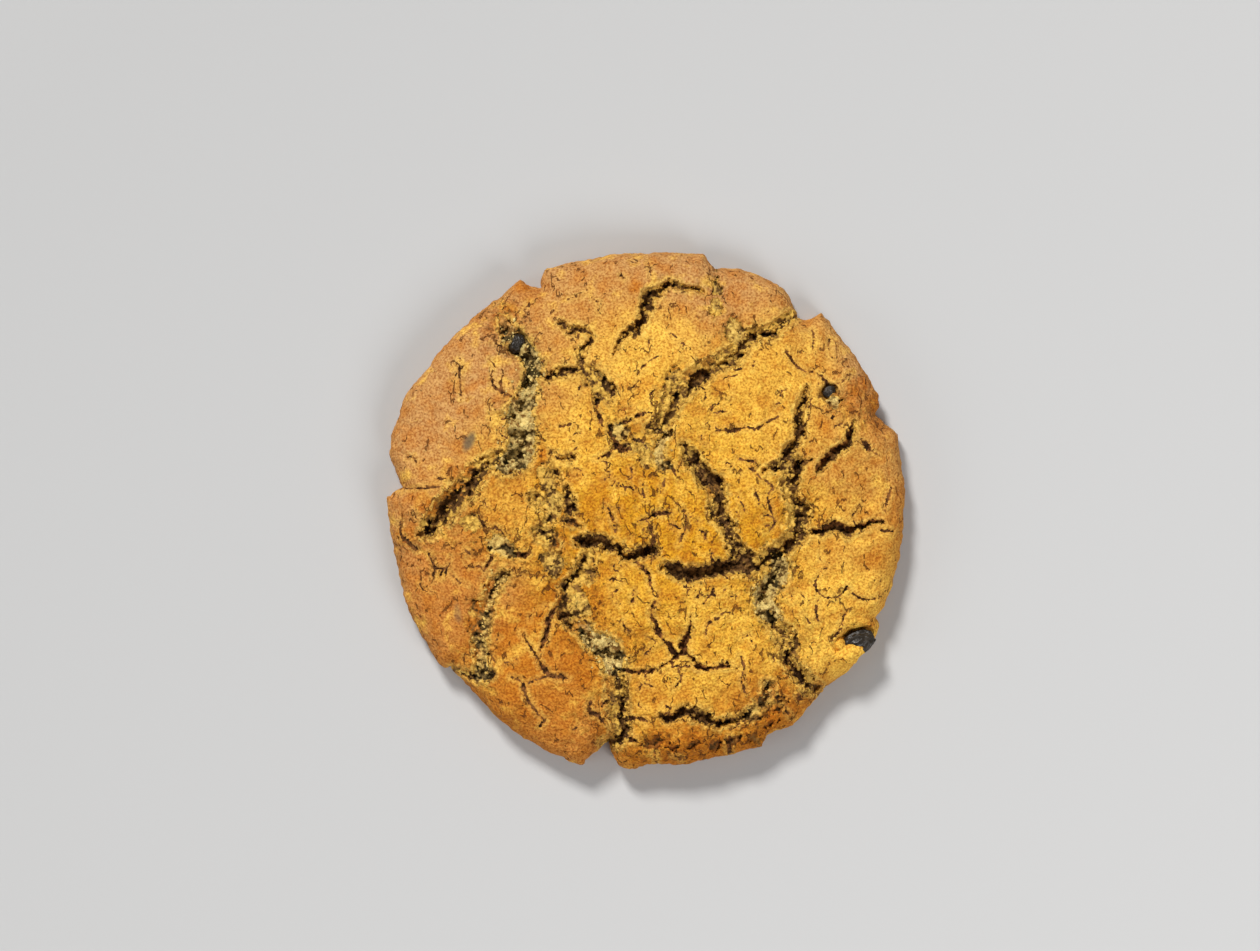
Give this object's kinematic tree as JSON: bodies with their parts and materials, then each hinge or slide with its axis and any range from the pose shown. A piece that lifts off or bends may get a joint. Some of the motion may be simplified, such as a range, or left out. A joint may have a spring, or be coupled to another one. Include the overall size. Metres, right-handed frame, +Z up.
{
  "type": "vanilla cookie",
  "caption": "Large round vanilla cookie with a domed golden top torn into plates by crumbly cracks, a nicked rim, a flat underside and raisins that show in the dough.",
  "frame": {"origin": "middle of the flat underside", "axes": "+Z up out of the domed top; +Y towards the rim lobe that is uppermost in the source picture, +X to the right of it"},
  "size_m": [0.1039, 0.1036, 0.0172],
  "materials": {
    "crust": "dry baked crust, golden brown, fine grained, with paler torn crumb in the cracks",
    "raisin": "dark wrinkled skin with a soft gloss"
  },
  "bodies": {
    "root": {"cookie": "crust", "raisin_rim": "raisin", "raisin_north_west": "raisin", "raisin_north_east": "raisin"}
  },
  "joints": []
}
